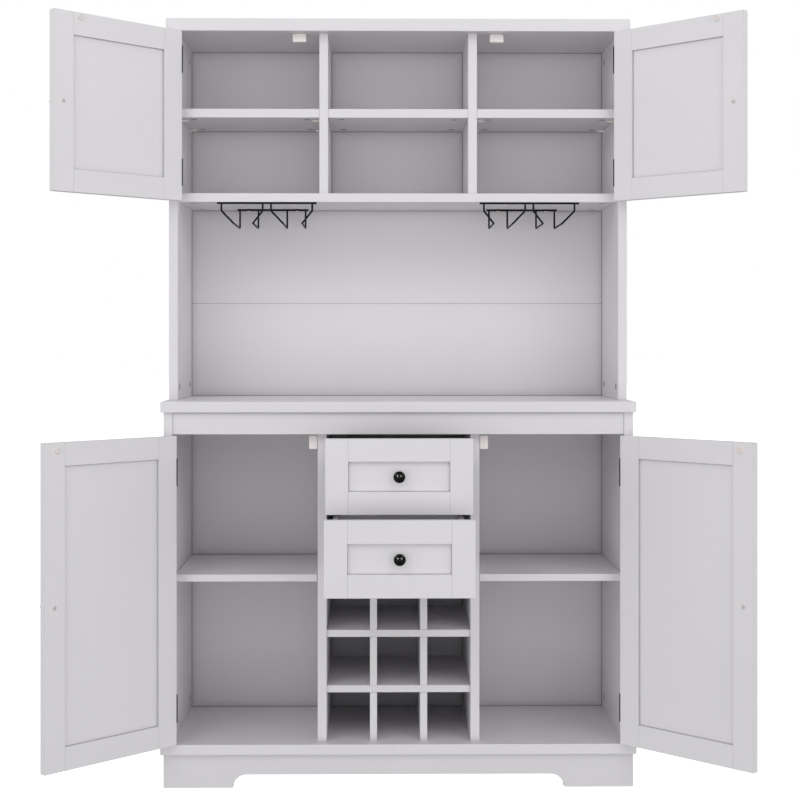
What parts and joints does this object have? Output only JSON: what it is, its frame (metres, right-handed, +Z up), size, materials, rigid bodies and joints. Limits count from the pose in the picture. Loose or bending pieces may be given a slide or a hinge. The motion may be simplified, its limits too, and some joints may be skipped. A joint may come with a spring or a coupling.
{
  "type": "buffet cabinet with hutch",
  "caption": "Painted buffet cabinet with an upper hutch, framed doors, drawers, a bottle rack, an open counter and wire racks for hanging stemmed glasses.",
  "frame": {"origin": "on the floor, under the middle of the rear plinth board", "axes": "+X to the viewer's right, +Y towards the wall behind, +Z up; the doors and drawers face -Y"},
  "size_m": [1.4124, 0.5825, 1.633],
  "materials": {
    "painted_mdf": "matte light grey paint",
    "painted_backboard": "matte light grey paint",
    "black_metal": "matte black",
    "dark_bronze": "satin dark bronze",
    "ivory_plastic": "matte ivory",
    "ivory_lacquer": "satin warm white lacquer",
    "zinc_steel": "satin zinc"
  },
  "bodies": {
    "carcass": {"base_back_panel": "painted_backboard", "base_bottom_panel": "painted_mdf", "base_dividers": "painted_mdf", "base_shelves": "painted_mdf", "base_side_left": "painted_mdf", "base_side_right": "painted_mdf", "base_top_rail": "painted_mdf", "cam_locks": "zinc_steel", "countertop": "painted_mdf", "drawer_channels": "zinc_steel", "drawer_deck": "painted_mdf", "glass_rack_left": "black_metal", "glass_rack_right": "black_metal", "hinge_fixed_leaves": "black_metal", "hutch_back_panels": "painted_backboard", "hutch_bottom_board": "painted_mdf", "hutch_dividers": "painted_mdf", "hutch_shelves": "painted_mdf", "hutch_side_left": "painted_mdf", "hutch_side_right": "painted_mdf", "hutch_top_board": "painted_mdf", "magnetic_catches": "ivory_plastic", "plinth_back": "painted_mdf", "plinth_ends": "painted_mdf", "plinth_front": "painted_mdf", "rack_shelves": "painted_mdf", "rack_uprights": "painted_mdf", "shelf_pins": "zinc_steel"},
    "lower_drawer": {"lower_drawer_bottom": "painted_backboard", "lower_drawer_box": "painted_mdf", "lower_drawer_front_frame": "painted_mdf", "lower_drawer_front_panel": "painted_mdf", "lower_drawer_knob": "dark_bronze", "lower_drawer_slides": "zinc_steel"},
    "lower_left_door": {"lower_left_door_frame": "painted_mdf", "lower_left_door_hinge_leaves": "black_metal", "lower_left_door_knob": "dark_bronze", "lower_left_door_panel": "painted_mdf", "lower_left_door_strike": "ivory_lacquer"},
    "lower_right_door": {"lower_right_door_frame": "painted_mdf", "lower_right_door_hinge_leaves": "black_metal", "lower_right_door_knob": "dark_bronze", "lower_right_door_panel": "painted_mdf", "lower_right_door_strike": "ivory_lacquer"},
    "upper_drawer": {"upper_drawer_bottom": "painted_backboard", "upper_drawer_box": "painted_mdf", "upper_drawer_front_frame": "painted_mdf", "upper_drawer_front_panel": "painted_mdf", "upper_drawer_knob": "dark_bronze", "upper_drawer_slides": "zinc_steel"},
    "upper_left_door": {"upper_left_door_frame": "painted_mdf", "upper_left_door_hinge_leaves": "black_metal", "upper_left_door_knob": "dark_bronze", "upper_left_door_panel": "painted_mdf", "upper_left_door_strike": "ivory_lacquer"},
    "upper_right_door": {"upper_right_door_frame": "painted_mdf", "upper_right_door_hinge_leaves": "black_metal", "upper_right_door_knob": "dark_bronze", "upper_right_door_panel": "painted_mdf", "upper_right_door_strike": "ivory_lacquer"}
  },
  "joints": [
    {"name": "lower_left_door_hinge", "type": "hinge", "parent": "carcass", "child": "lower_left_door", "pos_m": [-0.475, -0.3315, 0.4171], "axis": [0, 0, -1], "range_deg": [-134.7, 35.3]},
    {"name": "lower_right_door_hinge", "type": "hinge", "parent": "carcass", "child": "lower_right_door", "pos_m": [0.475, -0.3315, 0.4171], "axis": [0, 0, 1], "range_deg": [-134.7, 35.3]},
    {"name": "upper_left_door_hinge", "type": "hinge", "parent": "carcass", "child": "upper_left_door", "pos_m": [-0.475, -0.2455, 1.4221], "axis": [0, 0, -1], "range_deg": [-134.7, 35.3]},
    {"name": "upper_right_door_hinge", "type": "hinge", "parent": "carcass", "child": "upper_right_door", "pos_m": [0.475, -0.2455, 1.4221], "axis": [0, 0, 1], "range_deg": [-134.7, 35.3]},
    {"name": "lower_drawer_slide", "type": "slide", "parent": "carcass", "child": "lower_drawer", "axis": [0, -1, 0], "range_m": [-0.204, 0.046]},
    {"name": "upper_drawer_slide", "type": "slide", "parent": "carcass", "child": "upper_drawer", "axis": [0, -1, 0], "range_m": [-0.125, 0.125]}
  ]
}
